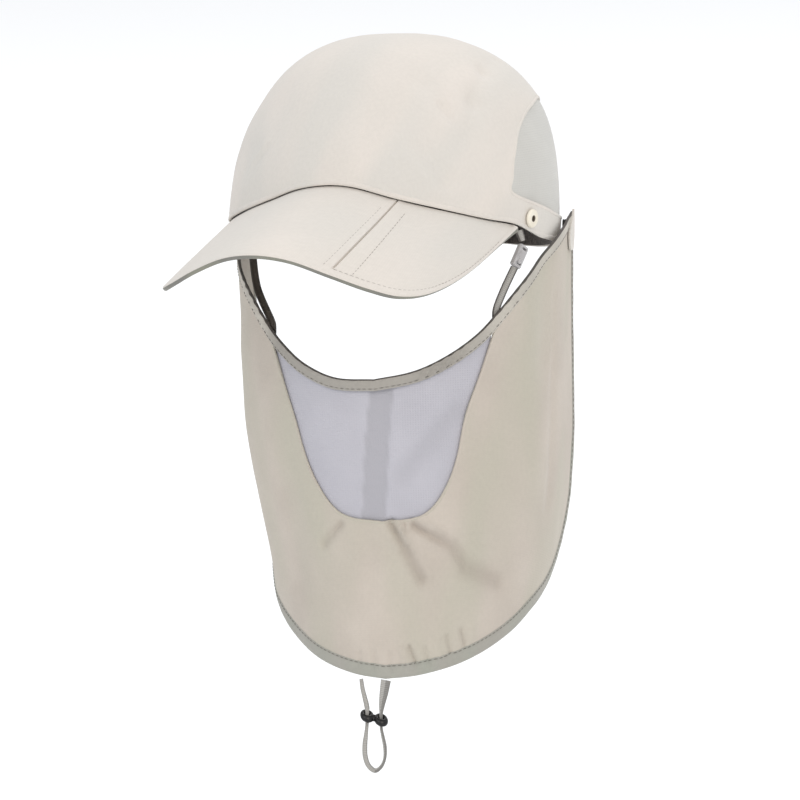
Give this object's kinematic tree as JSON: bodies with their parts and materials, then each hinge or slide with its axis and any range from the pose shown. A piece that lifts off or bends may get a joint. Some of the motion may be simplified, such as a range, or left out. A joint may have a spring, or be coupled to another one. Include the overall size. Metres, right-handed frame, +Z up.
{
  "type": "sun cap with peak and hanging face and neck flap",
  "caption": "Light fabric sun cap with a curved peak and a removable flap that hangs round the face and neck, closed below by a drawcord.",
  "frame": {"origin": "centre of the head opening, level with the ends of the peak, where the wearer's head holds the cap", "axes": "+Z up through the crown, -Y towards the peak, +X to the wearer's left"},
  "size_m": [0.1785, 0.274, 0.3768],
  "materials": {
    "nylon_light": "fine plain weave nylon, light beige",
    "nylon_flap": "fine plain weave nylon, beige grey",
    "knit_side": "fine mesh knit, pale grey",
    "knit_vent": "fine mesh knit, pale cool grey",
    "dark_band": "soft terry band, brown black",
    "elastic": "flat braided elastic, grey",
    "ivory_plastic": "moulded, ivory, satin",
    "clear_grey_plastic": "moulded, translucent grey",
    "black_plastic": "moulded, black, gloss"
  },
  "bodies": {
    "root": {"crown_shell": "nylon_light", "side_panel_left": "knit_side", "side_panel_right": "knit_side", "sweatband": "dark_band", "peak": "nylon_light", "flap_sheet": "nylon_flap", "flap_vent": "knit_vent", "flap_top_binding": "nylon_flap", "flap_hem": "nylon_flap", "crown_snap_left": "ivory_plastic", "crown_snap_right": "ivory_plastic", "corner_post_left": "ivory_plastic", "corner_post_right": "ivory_plastic", "corner_tab_left": "nylon_flap", "corner_tab_right": "nylon_flap", "strap_loop_left": "elastic", "strap_loop_right": "elastic", "strap_clip_left": "clear_grey_plastic", "strap_clip_right": "clear_grey_plastic", "side_strap_left": "elastic", "side_strap_right": "elastic", "drawcord": "elastic", "cord_lock": "black_plastic"}
  },
  "joints": []
}
